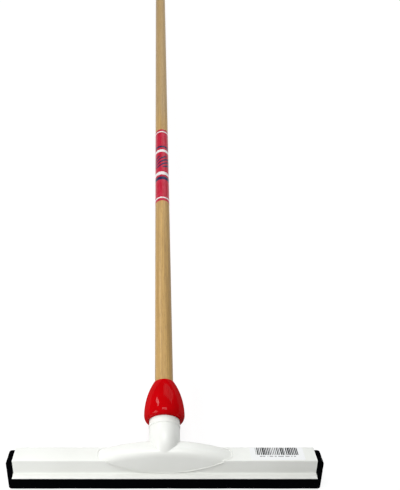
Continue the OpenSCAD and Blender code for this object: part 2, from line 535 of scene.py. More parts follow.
@dataclass(frozen=True)
class TurnedWood:
    """Straight-grained pale wood, turned and thinly varnished, greyer from some way up."""

    name: str = "turned_wood"
    pale: Colour = (0.56, 0.35, 0.117)
    mid: Colour = (0.43, 0.26, 0.08)
    dark: Colour = (0.31, 0.18, 0.055)
    grey: Colour = (0.41, 0.285, 0.135)
    fleck: Colour = (0.29, 0.17, 0.055)
    pore: Colour = (0.22, 0.13, 0.055)
    grey_from: float = 660.0
    grey_to: float = 760.0
    grain_depth: float = 0.00012
    roughness: float = 0.5

    def material(self, place: Matrix) -> bpy.types.Material:
        """Builds the material in the handle's frame, with its grain along Z.

        Args:
            place: Matrix from the handle's frame to the floor's frame.

        Returns:
            The material.
        """
        g = Graph(self.name)
        at = g.coordinates(place)
        _, _, height = g.split(at)
        streaks = g.noise(at, (0.34, 0.34, 0.006), detail=5.0, rough=0.6, bend=0.3)
        bands = g.noise(at, (0.13, 0.13, 0.0022), detail=3.0, rough=0.5, bend=0.5)
        pores = g.noise(at, (2.6, 2.6, 0.045), detail=3.0, rough=0.6)
        flecks = g.noise(at, (0.7, 0.7, 0.07), detail=4.0, rough=0.65)
        wave = {"wave_type": "BANDS", "bands_direction": "X", "wave_profile": "SAW"}
        inputs = {
            "Vector": g.stretch(at, (0.9, 0.9, 0.006)),
            "Scale": 0.12,
            "Distortion": 3.5,
            "Detail": 3.0,
            "Detail Scale": 0.6,
            "Detail Roughness": 0.6,
        }
        rings = g.add("ShaderNodeTexWave", wave, inputs, "Fac")
        tint = g.layers(
            self.pale,
            (streaks.spread(0.36, 0.66), self.mid),
            (bands.spread(0.5, 0.72) * 0.55, self.dark),
            (rings.spread(0.6, 1.0) * 0.35, self.dark),
            (height.spread(self.grey_from, self.grey_to) * 0.7, self.grey),
            (flecks.spread(0.5, 0.68) * 0.45, self.fleck),
            (pores.spread(0.56, 0.66) * 0.55, self.pore),
        )
        grain = streaks * 0.5 + pores.spread(0.45, 0.7) * -0.5
        rough = self.roughness + 0.18 * (streaks - 0.5) + 0.1 * (pores - 0.5)
        return g.surface(Base_Color=tint, Roughness=rough, Normal=g.bump(grain, self.grain_depth),
                         Specular_IOR_Level=0.4, Coat_Weight=0.12, Coat_Roughness=0.3)


@dataclass(frozen=True)
class PrintedFilm:
    """Red film shrunk round the handle, printed with plain rings and slanting bars.

    Places along the label are shares of its length.
    """

    name: str = "printed_film"
    red: Colour = (0.44, 0.008, 0.028)
    pale_red: Colour = (0.52, 0.028, 0.068)
    navy: Colour = (0.016, 0.022, 0.075)
    white: Colour = (0.74, 0.72, 0.72)
    navy_rings: tuple[Point, ...] = ((0.27, 0.31), (0.72, 0.745))
    white_rings: tuple[Point, ...] = ((0.335, 0.375), (0.655, 0.69), (0.03, 0.045), (0.955, 0.97))
    bars_at: Point = (0.44, 0.6)
    bar_part: Point = (0.28, 0.72)
    bars_round: float = 6.0
    bars_along: float = 22.0
    roughness: float = 0.3
    crinkle_depth: float = 0.00014

    def material(self, place: Matrix, foot: float, length: float) -> bpy.types.Material:
        """Builds the material in the handle's frame.

        Args:
            place: Matrix from the handle's frame to the floor's frame.
            foot: Place of the label's lower end on the axis.
            length: Length of the label.

        Returns:
            The material.
        """
        g = Graph(self.name)
        at = g.coordinates(place)
        x, y, z = g.split(at)
        up = (z - foot) / length
        turn = x.maths("ARCTAN2", y) / (2 * math.pi)
        wear = g.noise(at, (0.3, 0.3, 0.08), detail=4.0, rough=0.6)
        slant = (turn * self.bars_round + up * self.bars_along).maths("FRACT").within(*self.bar_part)
        bars = slant * up.within(*self.bars_at)
        tint = g.layers(
            self.red,
            (wear.spread(0.35, 0.75), self.pale_red),
            (up.within_any(self.navy_rings) + bars, self.navy),
            (up.within_any(self.white_rings), self.white),
        )
        rough = self.roughness + 0.12 * (wear - 0.5)
        crinkle = g.noise(at, (0.12, 0.12, 0.35), detail=3.0, rough=0.5, bend=0.6)
        return g.surface(Base_Color=tint, Roughness=rough, Normal=g.bump(crinkle, self.crinkle_depth),
                         Specular_IOR_Level=0.15, Coat_Weight=0.05, Coat_Roughness=0.15)


@dataclass(frozen=True)
class StickerPaper:
    """White sticker with a field of plain bars and a row of plain marks below it."""

    name: str = "sticker_paper"
    paper: Colour = (0.80, 0.81, 0.815)
    fibre: Colour = (0.7, 0.7, 0.68)
    ink: Colour = (0.012, 0.012, 0.014)
    fibre_share: float = 0.2
    fibre_depth: float = 0.00003
    roughness: float = 0.55
    pitch_mm: float = 2.3
    bar_least: float = 0.36
    bar_more: float = 0.5
    mark_mm: float = 0.9
    mark_start: float = -2.0
    mark_ink: float = 0.6
    mark_gaps: float = 0.25
    row_part: float = 0.42
    row_low: float = 3.2
    row_high: float = 1.6

    def material(self, place: Matrix, middle: float, wide: float, low: float,
                 high: float) -> bpy.types.Material:
        """Builds the material in the head's frame.

        Args:
            place: Matrix from the head's frame to the floor's frame.
            middle: Middle of the field of bars along the channel.
            wide: Width of the field of bars.
            low: Near edge of the field, in depth.
            high: Far edge of the field, in depth.

        Returns:
            The material.
        """
        g = Graph(self.name)
        at = g.coordinates(place)
        x, y, _ = g.split(at)
        along = (x - middle) / self.pitch_mm
        bars = along.maths("FRACT") < self.bar_least + self.bar_more * g.chance(along.maths("FLOOR"))
        field_of_bars = x.within(middle - wide / 2, middle + wide / 2) * y.within(low, high)
        reach = self.row_part * wide
        row = x.within(middle - reach, middle + reach) * y.within(low - self.row_low, low - self.row_high)
        marks = g.chance(((x - self.mark_start) / self.mark_mm).maths("FLOOR")) > self.mark_gaps
        fibres = g.noise(at, 0.8, detail=4.0, rough=0.6)
        tint = g.layers(
            self.paper,
            (fibres.spread(0.3, 0.8) * self.fibre_share, self.fibre),
            (bars * field_of_bars, self.ink),
            (marks * row * self.mark_ink, self.ink),
        )
        rough = self.roughness + 0.1 * (fibres - 0.5)
        normal = g.bump(fibres, self.fibre_depth)
        return g.surface(Base_Color=tint, Roughness=rough, Normal=normal, Specular_IOR_Level=0.4)


@dataclass(frozen=True)
class NaturalPlastic:
    """Uncoloured polypropylene of the hidden clamp sleeve."""

    name: str = "natural_polypropylene"
    colour: Colour = (0.68, 0.66, 0.58)
    shade: Colour = (0.6, 0.58, 0.5)
    roughness: float = 0.4
    cloud_depth: float = 0.00008

    def material(self, place: Matrix) -> bpy.types.Material:
        """Builds the material in the frame of its piece.

        Args:
            place: Matrix from the piece's frame to the floor's frame.

        Returns:
            The material.
        """
        g = Graph(self.name)
        at = g.coordinates(place)
        cloud = g.noise(at, 0.12, detail=3.0)
        tint = g.layers(self.colour, (cloud.spread(0.3, 0.7), self.shade))
        rough = self.roughness + 0.15 * (cloud - 0.5)
        return g.surface(Base_Color=tint, Roughness=rough, Normal=g.bump(cloud, self.cloud_depth))


class Shape:
    """A mesh under construction, in millimetres of the frame that it is drawn in."""

    def __init__(self) -> None:
        """Starts an empty mesh."""
        self.bm = bmesh.new()

    def turn(self, profile: Sequence[Point], steps: int, closed: bool = False) -> "Shape":
        """Turns a profile about Z.

        Args:
            profile: Radius and height of each point.
            steps: Steps in the full turn.
            closed: Joins the last point to the first.

        Returns:
            This shape.
        """
        verts = [self.bm.verts.new((radius, 0.0, height)) for radius, height in profile]
        pairs = list(zip(verts, verts[1:]))
        if closed:
            pairs.append((verts[-1], verts[0]))
        edges = [self.bm.edges.new(pair) for pair in pairs]
        bmesh.ops.spin(self.bm, geom=verts + edges, cent=(0, 0, 0), axis=(0, 0, 1), dvec=(0, 0, 0),
                       angle=2 * math.pi, steps=steps, use_merge=True)
        return self.clean()

    def draw_out(self, section: Sequence[Point], length: float) -> "Shape":
        """Draws a section of depth and height out along X, about its middle.

        Args:
            section: The outline's points.
            length: Length along X.

        Returns:
            This shape.
        """
        verts = [self.bm.verts.new((-length / 2, depth, height)) for depth, height in section]
        face = self.bm.faces.new(verts)
        made = bmesh.ops.extrude_face_region(self.bm, geom=[face])
        bmesh.ops.translate(self.bm, verts=self.verts_in(made["geom"]), vec=(length, 0, 0))
        return self.clean()

    def bend_out(self, section: Sequence[Point], swing: float, steps: int) -> "Shape":
        """Swings a section of depth and radius about Y, evenly to both sides of the top.

        Args:
            section: The outline's points.
            swing: Angle to each side in radians.
            steps: Number of steps in the whole swing.

        Returns:
            This shape.
        """
        verts = [self.bm.verts.new((0.0, depth, radius)) for depth, radius in section]
        edges = [self.bm.edges.new(pair) for pair in zip(verts, verts[1:] + verts[:1])]
        bmesh.ops.rotate(self.bm, verts=verts, cent=(0, 0, 0), matrix=Matrix.Rotation(-swing, 3, "Y"))
        bmesh.ops.spin(self.bm, geom=verts + edges, cent=(0, 0, 0), axis=(0, 1, 0), dvec=(0, 0, 0),
                       angle=2 * swing, steps=steps)
        return self.clean().fill_holes().clean()

    def rod(self, path: Sequence[Vector], radius: float, sides: int) -> "Shape":
        """Runs a round rod along a path.

        Its corners lie half a step off the path's own planes, so that a cut along one meets faces only.

        Args:
            path: Points of the rod's middle line.
            radius: Radius of the rod.
            sides: Number of sides.

        Returns:
            This shape.
        """
        angles = [2 * math.pi * (k + 0.5) / sides for k in range(sides)]
        spokes = [Vector((radius * math.cos(a), radius * math.sin(a), 0.0)) for a in angles]
        rings = []
        for i, point in enumerate(path):
            ahead = (path[min(i + 1, len(path) - 1)] - path[max(i - 1, 0)]).normalized()
            turn = ahead.to_track_quat("Z", "Y")
            rings.append([self.bm.verts.new(point + turn @ spoke) for spoke in spokes])
        for low, high in zip(rings, rings[1:]):
            edges = [self.ring_edge(ring, k) for ring in (low, high) for k in range(sides)]
            bmesh.ops.bridge_loops(self.bm, edges=edges)
        return self.fill_holes().clean()

    def box(self, middle: Triple, extent: Triple) -> "Shape":
        """Adds a box.

        Args:
            middle: Place of its middle.
            extent: Its whole extent along each axis.

        Returns:
            This shape.
        """
        place = Matrix.Translation(middle) @ Matrix.Diagonal((*extent, 1))
        bmesh.ops.create_cube(self.bm, size=1.0, matrix=place)
        return self

    def ring_edge(self, ring: Sequence[bmesh.types.BMVert], k: int) -> bmesh.types.BMEdge:
        """Gives one edge of a closed ring, and makes it if it isn't there."""
        pair = (ring[k], ring[(k + 1) % len(ring)])
        return self.bm.edges.get(pair) or self.bm.edges.new(pair)

    @staticmethod
    def verts_in(made: Iterable[Any]) -> list[bmesh.types.BMVert]:
        """Gives the vertices among what an operator made."""
        return [item for item in made if isinstance(item, bmesh.types.BMVert)]

    def clean(self) -> "Shape":
        """Merges doubles and turns the faces outwards."""
        bmesh.ops.remove_doubles(self.bm, verts=self.bm.verts, dist=MERGE_MM)
        bmesh.ops.recalc_face_normals(self.bm, faces=self.bm.faces)
        return self

    def fill_holes(self) -> "Shape":
        """Closes every open loop with a face."""
        bmesh.ops.holes_fill(self.bm, edges=self.open_loop(), sides=0)
        return self

    def round_off(self, width: float, segments: int,
                  edges: Optional[Iterable[bmesh.types.BMEdge]] = None) -> "Shape":
        """Rounds edges.

        Args:
            width: Width of the rounding on each face.
            segments: Steps of the rounding.
            edges: The edges, which are all crisp ones if left out.

        Returns:
            This shape.
        """
        chosen = list(edges) if edges is not None else self.crisp()
        bmesh.ops.bevel(self.bm, geom=chosen, offset=width, offset_type="OFFSET", segments=segments,
                        profile=0.5, affect="EDGES", clamp_overlap=True, material=-1)
        return self

    def crisp(self) -> list[bmesh.types.BMEdge]:
        """Gives the edges whose faces meet at a clear angle."""
        return [e for e in self.bm.edges if e.is_manifold and e.calc_face_angle() > CRISP_ANGLE]

    def ridges(self) -> list[bmesh.types.BMEdge]:
        """Gives the long crisp edges at the top."""
        top = max(vert.co.z for vert in self.bm.verts)
        level = [e for e in self.crisp() if all(abs(vert.co.z - top) < LEVEL_MM for vert in e.verts)]
        return [e for e in level if abs(e.verts[0].co.y - e.verts[1].co.y) < LEVEL_MM]

    def open_loop(self) -> list[bmesh.types.BMEdge]:
        """Gives the edges that have one face only."""
        return [e for e in self.bm.edges if e.is_boundary]

    def move(self, matrix: Matrix) -> "Shape":
        """Transforms the whole mesh."""
        bmesh.ops.transform(self.bm, matrix=matrix, verts=self.bm.verts)
        return self

    def make(self, name: str, place: Matrix, smooth: float = 32.0) -> bpy.types.Object:
        """Ends the shape as an object at the origin, with its place in its mesh.

        Args:
            name: Name of the piece.
            place: Matrix from the shape's frame to the floor's frame.
            smooth: Largest angle between faces, in degrees, that is shaded smooth.

        Returns:
            The object.
        """
        self.move(place)
        for face in self.bm.faces:
            face.smooth = True
        for edge in self.bm.edges:
            edge.smooth = not edge.is_manifold or edge.calc_face_angle() < math.radians(smooth)
        mesh = bpy.data.meshes.new(name)
        self.bm.to_mesh(mesh)
        self.bm.free()
        piece = bpy.data.objects.new(name, mesh)
        bpy.context.scene.collection.objects.link(piece)
        return piece


def seat(piece: bpy.types.Object, body: Body, slot: Slot, material: bpy.types.Material, *nodes: str) -> None:
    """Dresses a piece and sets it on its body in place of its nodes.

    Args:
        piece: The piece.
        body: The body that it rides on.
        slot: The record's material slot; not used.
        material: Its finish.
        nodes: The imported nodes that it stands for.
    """
    piece.data.materials.clear()
    piece.data.materials.append(material)
    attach(piece, body.value)
    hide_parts(*nodes)
    LOG.info("%s rides on %s with %d faces", piece.name, body.value, len(piece.data.polygons))


def combine(base: bpy.types.Object, tool: bpy.types.Object, operation: str) -> None:
    """Joins a tool to a base or cuts it away, and removes the tool.

    Args:
        base: The object that changes.
        tool: The other object.
        operation: Blender's name of the boolean.
    """
    modifier = base.modifiers.new("combine", "BOOLEAN")
    modifier.operation = operation
    modifier.solver = "EXACT"
    modifier.object = tool
    bpy.context.view_layer.update()
    graph = bpy.context.evaluated_depsgraph_get()
    mesh = bpy.data.meshes.new_from_object(base.evaluated_get(graph))
    base.modifiers.clear()
    base.data = mesh
    bpy.data.objects.remove(tool)


@dataclass
class Channel:
    """The white extruded channel and the sticker on its top."""

    layout: Layout
    lip_reach: float = 8.5
    lip_t: float = 0.9
    lip_drop: float = 0.2
    step_w: float = 4.0
    step_h: float = 0.8
    edge_round: float = 0.2
    edge_steps: int = 3
    sticker_w: float = 68.0
    sticker_d: float = 21.0
    sticker_t: float = 0.12
    sticker_gap: float = 14.5
    sticker_corner: float = 1.6
    corner_steps: int = 5
    bars_w: float = 54.0
    bars_low: float = -2.0

    @property
    def sticker_at(self) -> float:
        """Place of the sticker's middle along the channel."""
        return self.layout.channel_l / 2 - self.sticker_gap - self.sticker_w / 2

    def section(self) -> list[Point]:
        """Gives the channel's outline in depth and height."""
        size = self.layout
        half = size.channel_d / 2
        inner = half - size.wall_t
        edge = half + self.lip_reach
        step = edge - self.step_w
        step_z = -size.channel_h - self.lip_drop * (self.lip_reach - self.step_w) / self.lip_reach
        lip_z = -size.channel_h - self.lip_drop
        side = [
            (half, 0.0),
            (half, -size.channel_h),
            (step, step_z),
            (step, step_z - self.step_h),
            (edge, lip_z - self.step_h),
            (edge, lip_z - self.step_h - self.lip_t),
            (inner, -size.channel_h - self.lip_t),
            (inner, -size.rib_at - size.rib_h),
            (inner - size.rib_h, -size.rib_at),
            (inner, -size.rib_at + size.rib_h),
            (inner, -size.top_t),
            (size.web_t / 2, -size.top_t),
            (size.web_t / 2, -size.top_t - size.web_h),
        ]
        return side + [(-depth, height) for depth, height in reversed(side)]

    def build(self) -> bpy.types.Object:
        """Builds the channel with its edges eased."""
        size = self.layout
        shape = Shape().draw_out(self.section(), size.channel_l)
        shape.round_off(size.ridge_r, size.ridge_steps, shape.ridges())
        shape.round_off(self.edge_round, self.edge_steps)
        return shape.make("drawn_channel", size.head_place())

    def build_sticker(self) -> bpy.types.Object:
        """Builds the sticker with rounded corners."""
        thick = self.sticker_t
        shape = Shape().box((self.sticker_at, 0, thick / 2), (self.sticker_w, self.sticker_d, thick))
        upright = [e for e in shape.bm.edges if abs(e.verts[0].co.z - e.verts[1].co.z) > thick / 2]
        shape.round_off(self.sticker_corner, self.corner_steps, upright)
        return shape.make("bar_sticker", self.layout.head_place())

    def dress(self) -> None:
        """Builds the pieces and gives them their finishes."""
        place = self.layout.head_place()
        white = WhitePlastic(name="drawn_white_plastic", drawn=True)
        seat(self.build(), Body.HEAD, Slot.WHITE, white.material(place), "channel")
        far = self.sticker_d / 2
        paper = StickerPaper().material(place, self.sticker_at, self.bars_w, self.bars_low, far)
        seat(self.build_sticker(), Body.HEAD, Slot.PAPER, paper, "barcode_sticker")


@dataclass
class Saddle:
    """The white moulded saddle: boss, bent neck, collar and spigot."""

    layout: Layout
    boss_l: float = 168.0
    boss_rise: float = 15.4
    boss_drop: float = 18.5
    boss_foot_l: float = 152.0
    boss_t: float = 1.0
    boss_round: float = 10.0
    boss_over: float = 0.7
    round_steps: int = 12
    swing_steps: int = 120
    foot_steps: int = 96
    bead_r: float = 0.6
    bead_sides: int = 8
    bead_part: float = 0.97
    bead_steps: int = 40
    tip_rise: float = 0.36
    tip_steps: int = 8
    neck_at: float = 5.3
    neck_steps: int = 144
    stub_tilt: float = math.radians(60.0)
    bend_r: float = 22.0
    bend_steps: int = 16
    collar_at: float = 33.2
    collar_w: float = 2.5
    collar_h: float = 0.6
    collar_ease: float = 0.2
    shoulder_ease: float = 0.4
    bore_ease: float = 0.6
    spigot_ease: float = 0.8
    weld_m: float = 0.00002
    sliver_m: float = 0.00001
    smooth: float = 28.0

    @property
    def boss_d(self) -> float:
        """Depth of the boss on each side."""
        return self.layout.channel_d / 2 + self.boss_t

    @property
    def boss_arc(self) -> float:
        """Radius to which the boss is bent."""
        return ((self.boss_l / 2) ** 2 + self.boss_rise ** 2) / (2 * self.boss_rise)

    @property
    def foot_arc(self) -> float:
        """Radius of the boss's lower edge on the walls."""
        return ((self.boss_foot_l / 2) ** 2 + self.boss_drop ** 2) / (2 * self.boss_drop)

    def build_boss(self) -> bpy.types.Object:
        """Builds the boss: a rounded bar bent over the channel and cut off along its lower edge."""
        inset = self.boss_d - self.boss_round
        centre = (inset, self.boss_arc - self.boss_round)
        corner = arc(centre, self.boss_round, 0, 90, self.round_steps)
        inner = self.boss_arc - self.boss_rise - self.layout.channel_d
        half = [(self.boss_d, inner)] + corner
        section = half + [(-depth, height) for depth, height in reversed(half)]
        swing = math.asin(self.boss_over * self.boss_l / self.boss_arc)
        shape = Shape().bend_out(section, swing, self.swing_steps)
        shape.move(Matrix.Translation((0, 0, self.boss_rise - self.boss_arc)))
        boss = shape.make("boss", self.layout.head_place())
        combine(boss, self.build_keep(), "INTERSECT")
        return boss

    def build_keep(self) -> bpy.types.Object:
        """Builds the prism of what the boss keeps: all above the channel, and a lens on the walls."""
        wide = self.boss_over * self.boss_l
        centre = (0.0, self.foot_arc - self.boss_drop)
        swing = math.degrees(math.acos((centre[1] + self.boss_t) / self.foot_arc))
        outline = [(wide, 2 * self.boss_rise), (-wide, 2 * self.boss_rise), (-wide, -self.boss_t)]
        outline += arc(centre, self.foot_arc, -90 - swing, -90 + swing, self.foot_steps)
        outline.append((wide, -self.boss_t))
        shape = Shape().draw_out(outline, 3 * self.layout.channel_d)
        shape.move(Matrix.Rotation(-math.pi / 2, 4, "Z"))
        return shape.make("keep", self.layout.head_place())

    def bead_path(self) -> list[Vector]:
        """Gives the outline of the boss: along the front wall, over the ridge and round a tip."""
        front = -self.boss_d
        middle = (0.0, self.foot_arc - self.boss_drop)
        swing = math.degrees(math.asin(self.bead_part * self.boss_foot_l / 2 / self.foot_arc))
        wall = arc(middle, self.foot_arc, -90, -90 + swing, self.bead_steps)
        path = [Vector((x, front, z)) for x, z in wall]
        for i in range(2 * self.tip_steps + 1):
            rise = self.tip_rise * self.boss_round * (1 - i / self.tip_steps) ** 2
            along = math.sqrt(2 * self.boss_arc * (self.boss_rise - rise))
            reach = math.sqrt(self.boss_round ** 2 - (self.boss_round - rise) ** 2)
            side = -1 if i < self.tip_steps else 1
            path.append(Vector((along, side * (self.boss_d - self.boss_round + reach), 0.0)))
        return path

    def build_bead(self) -> bpy.types.Object:
        """Builds the bead round the whole outline."""
        path = self.bead_path()
        mirrored = [Vector((-point.x, point.y, point.z)) for point in reversed(path[1:])]
        shape = Shape().rod(mirrored + path, self.bead_r, self.bead_sides)
        return shape.make("bead", self.layout.head_place())

    def neck_profile(self, foot: float) -> list[Point]:
        """Gives the straight neck's outline from the socket's bottom over the spigot to the bend.

        Args:
            foot: Place of the bend's start on the handle's axis.

        Returns:
            Radius and height of each point.
        """
        size = self.layout
        neck_r = size.neck_d / 2
        spigot_r = size.spigot_d / 2
        collar_r = neck_r + self.collar_h
        collar_end = self.collar_at + self.collar_w
        top = size.spigot_end
        return [
            (0.0, size.socket_at),
            (size.bore_r, size.socket_at),
            (size.bore_r, top - self.bore_ease),
            (size.bore_r + self.bore_ease, top),
            (spigot_r - self.spigot_ease, top),
            (spigot_r, top - self.spigot_ease),
            (spigot_r, size.shoulder_at),
            (neck_r - self.shoulder_ease, size.shoulder_at),
            (neck_r, size.shoulder_at - self.shoulder_ease),
            (neck_r, collar_end),
            (collar_r - self.collar_ease, collar_end),
            (collar_r, collar_end - self.collar_ease),
            (collar_r, self.collar_at + self.collar_ease),
            (collar_r - self.collar_ease, self.collar_at),
            (neck_r, self.collar_at),
            (neck_r, foot),
        ]

    def build_neck(self) -> bpy.types.Object:
        """Builds the neck from its spigot down, bends it and runs it into the boss."""
        size = self.layout
        bend = self.stub_tilt - size.handle_tilt
        run = self.bend_r * math.tan(bend / 2)
        foot = self.neck_at + size.axis_lift / math.tan(bend) + run
        shape = Shape().turn(self.neck_profile(foot), self.neck_steps)
        loop = shape.open_loop()
        ring = list(dict.fromkeys(vert for edge in loop for vert in edge.verts))
        bmesh.ops.spin(shape.bm, geom=ring + loop, cent=(0, self.bend_r, foot), axis=(1, 0, 0),
                       dvec=(0, 0, 0), angle=bend, steps=self.bend_steps)
        made = bmesh.ops.extrude_edge_only(shape.bm, edges=shape.clean().open_loop())
        rest = size.axis_lift / math.sin(bend) - run
        bmesh.ops.translate(shape.bm, verts=shape.verts_in(made["geom"]),
                            vec=(0, rest * math.sin(bend), -rest * math.cos(bend)))
        return shape.clean().fill_holes().clean().make("neck", size.handle_place())

    def build_block(self) -> bpy.types.Object:
        """Builds the block that the channel takes out of the saddle."""
        size = self.layout
        deep = 2 * size.channel_d
        shape = Shape().box((0, 0, -deep / 2), (size.channel_l, size.channel_d, deep))
        shape.round_off(size.ridge_r, size.ridge_steps, shape.ridges())
        return shape.make("block", size.head_place())

    def build(self) -> bpy.types.Object:
        """Builds the whole saddle."""
        saddle = self.build_boss()
        combine(saddle, self.build_neck(), "UNION")
        combine(saddle, self.build_bead(), "UNION")
        combine(saddle, self.build_block(), "DIFFERENCE")
        shape = Shape()
        shape.bm.from_mesh(saddle.data)
        bpy.data.objects.remove(saddle)
        bmesh.ops.remove_doubles(shape.bm, verts=shape.bm.verts, dist=self.weld_m)
        bmesh.ops.dissolve_degenerate(shape.bm, dist=self.sliver_m, edges=shape.bm.edges)
        return shape.make("moulded_saddle", Matrix.Identity(4), self.smooth)

    def dress(self) -> None:
        """Builds the saddle and gives it its finish."""
        white = WhitePlastic(name="moulded_white_plastic")
        seat(self.build(), Body.HEAD, Slot.WHITE, white.material(self.layout.head_place()), "saddle")


@dataclass
class Blades:
    """The two foam strips."""

    layout: Layout
    edge_round: float = 0.6
    edge_steps: int = 3
    top_corner: float = 5.0
    low_corner: float = 3.5
    corner_steps: int = 6
    cuts: int = 100
    wave: float = 0.1
    wave_from: float = 4.0
    long_wave: float = 0.061
    short_wave: float = 0.147
    short_share: float = 0.6
    short_shift: float = 2.0

    def build(self, side: Side) -> bpy.types.Object:
        """Builds one strip with its groove, eased corners and slightly uneven faces.

        Args:
            side: The side of the head that it is on.

        Returns:
            The strip.
        """
        size = self.layout
        groove = size.rib_h + size.fit
        sign = side.value
        top = -size.top_t - size.fit
        section = [
            (sign * size.blade_in, top),
            (sign * size.blade_out, top),
            (sign * size.blade_out, -size.rib_at + groove),
            (sign * (size.blade_out + size.fit - groove), -size.rib_at),
            (sign * size.blade_out, -size.rib_at - groove),
            (sign * size.blade_out, -size.blade_foot),
            (sign * size.blade_in, -size.blade_foot),
        ]
        shape = Shape().draw_out(section, size.channel_l + 2 * size.blade_over)
        for level, width in ((top, self.top_corner), (-size.blade_foot, self.low_corner)):
            across = [e for e in shape.crisp() if self.is_across(e, level)]
            shape.round_off(width, self.corner_steps, across)
        shape.round_off(self.edge_round, self.edge_steps)
        lengthwise = [e for e in shape.bm.edges if abs(e.verts[0].co.x - e.verts[1].co.x) > size.channel_l]
        bmesh.ops.subdivide_edges(shape.bm, edges=lengthwise, cuts=self.cuts, use_grid_fill=True)
        for vert in shape.bm.verts:
            vert.co.y += sign * self.unevenness(vert.co, sign)
        shape.clean()
        shape.move(size.head_place())
        if side is Side.REAR:
            self.press_flat(shape)
        return shape.make(f"{side.name.lower()}_foam_strip", Matrix.Identity(4))

    def unevenness(self, point: Vector, sign: int) -> float:
        """Gives how far a strip's face lies inwards of its plane.

        Args:
            point: A point of the strip, in the head's frame.
            sign: Sign of the strip's side.

        Returns:
            The shift outwards, which is zero in the channel and nowhere positive.
        """
        size = self.layout
        free = min(1.0, max(0.0, (-point.z - size.channel_h - self.wave_from) / size.blade_show))
        ripple = math.sin(point.x * self.long_wave + sign)
        ripple += self.short_share * math.sin(point.x * self.short_wave + self.short_shift * sign)
        return self.wave * free * (ripple - 1 - self.short_share)

    @staticmethod
    def is_across(edge: bmesh.types.BMEdge, level: float) -> bool:
        """Tells whether an edge runs across a strip's thickness at a height."""
        first, second = (vert.co for vert in edge.verts)
        return abs(first.x - second.x) < LEVEL_MM and abs(first.z - level) + abs(second.z - level) < LEVEL_MM

    @staticmethod
    def press_flat(shape: Shape) -> None:
        """Cuts the strip off at the floor.

        Args:
            shape: The strip, in the floor's frame.
        """
        whole = list(shape.bm.verts) + list(shape.bm.edges) + list(shape.bm.faces)
        bmesh.ops.bisect_plane(shape.bm, geom=whole, dist=1e-7, plane_co=(0, 0, 0), plane_no=(0, 0, 1),
                               clear_inner=True)
        shape.fill_holes()

    def dress(self) -> None:
        """Builds both strips and gives them their finish."""
        foam = FoamRubber().material(self.layout.head_place())
        seat(self.build(Side.FRONT), Body.FRONT_BLADE, Slot.FOAM, foam, "front_blade")
        seat(self.build(Side.REAR), Body.REAR_BLADE, Slot.FOAM, foam, "rear_blade")


@dataclass
class ScrewClamp:
    """The red clamp nut and the split sleeve under it."""

    layout: Layout
    nut_d: float = 53.6
    nut_arc: float = 92.0
    nut_steps: int = 160
    flank_steps: int = 48
    top_r: float = 1.5
    top_steps: int = 10
    chamfer_l: float = 9.0
    chamfer_w: float = 5.6
    chamfer_steps: int = 12
    mouth_w: float = 0.1
    mouth_l: float = 0.3
    skirt_fit: float = 0.6
    skirt_ease: float = 0.2
    sleeve_l: float = 11.0
    sleeve_d: float = 35.4
    sleeve_top_d: float = 29.0
    sleeve_steps: int = 96
    split_w: float = 3.0

    def nut_outside(self) -> list[Point]:
        """Gives the nut's outer outline from its foot to its top."""
        belt = self.layout.nut_foot_at + self.chamfer_l
        nut_r = self.nut_d / 2
        outside = []
        for i in range(self.chamfer_steps + 1):
            angle = math.pi / 2 * i / self.chamfer_steps
            radius = nut_r - self.chamfer_w * (1 - math.sin(angle))
            outside.append((radius, belt - self.chamfer_l * math.cos(angle)))
        curve = self.top_r / self.nut_arc
        flank_end = (self.layout.nut_top_at - self.top_r - curve * belt) / (1 - curve)
        lean = math.degrees(math.asin((flank_end - belt) / self.nut_arc))
        outside += arc((nut_r - self.nut_arc, belt), self.nut_arc, 0, lean, self.flank_steps)[1:]
        edge, height = outside[-1]
        slope = math.radians(lean)
        blend = (edge - self.top_r * math.cos(slope), height - self.top_r * math.sin(slope))
        return outside + arc(blend, self.top_r, lean, 90, self.top_steps)[1:]

    def nut_inside(self) -> list[Point]:
        """Gives the nut's inner outline from its top to its foot."""
        size = self.layout
        fit = size.fit
        top = size.nut_top_at
        foot = size.nut_foot_at
        sleeve_at = size.spigot_end + fit
        sleeve_end = sleeve_at + self.sleeve_l
        skirt = size.neck_d / 2 + self.skirt_fit
        return [
            (size.bore_r + self.mouth_w, top),
            (size.bore_r, top - self.mouth_l),
            (size.bore_r, sleeve_end + fit),
            (self.sleeve_top_d / 2 + fit, sleeve_end + fit),
            (self.sleeve_d / 2 + fit, sleeve_at),
            (self.sleeve_d / 2 + fit, size.spigot_end),
            (size.spigot_d / 2 + fit, size.spigot_end),
            (size.spigot_d / 2 + fit, size.shoulder_at + fit),
            (skirt, size.shoulder_at + fit),
            (skirt, foot + self.skirt_ease),
            (skirt + self.skirt_ease, foot),
        ]

    def build_nut(self) -> bpy.types.Object:
        """Builds the nut by turning its outline."""
        shape = Shape().turn(self.nut_outside() + self.nut_inside(), self.nut_steps, closed=True)
        return shape.make("clamp_cap", self.layout.handle_place())

    def build_sleeve(self) -> bpy.types.Object:
        """Builds the split sleeve."""
        size = self.layout
        low = size.spigot_end + size.fit
        outline = [
            (size.bore_r, low),
            (self.sleeve_d / 2, low),
            (self.sleeve_top_d / 2, low + self.sleeve_l),
            (size.bore_r, low + self.sleeve_l),
        ]
        place = size.handle_place()
        sleeve = Shape().turn(outline, self.sleeve_steps, closed=True).make("split_sleeve", place)
        middle = (0, self.sleeve_d / 2, low + self.sleeve_l / 2)
        slit = Shape().box(middle, (self.split_w, self.sleeve_d, 3 * self.sleeve_l))
        combine(sleeve, slit.make("slit", place), "DIFFERENCE")
        return sleeve

    def dress(self) -> None:
        """Builds nut and sleeve and gives them their finishes."""
        place = self.layout.handle_place()
        seat(self.build_nut(), Body.NUT, Slot.RED, RedGloss().material(place), "clamp_nut")
        seat(self.build_sleeve(), Body.SLEEVE, Slot.NATURAL, NaturalPlastic().material(place), "clamp_sleeve")


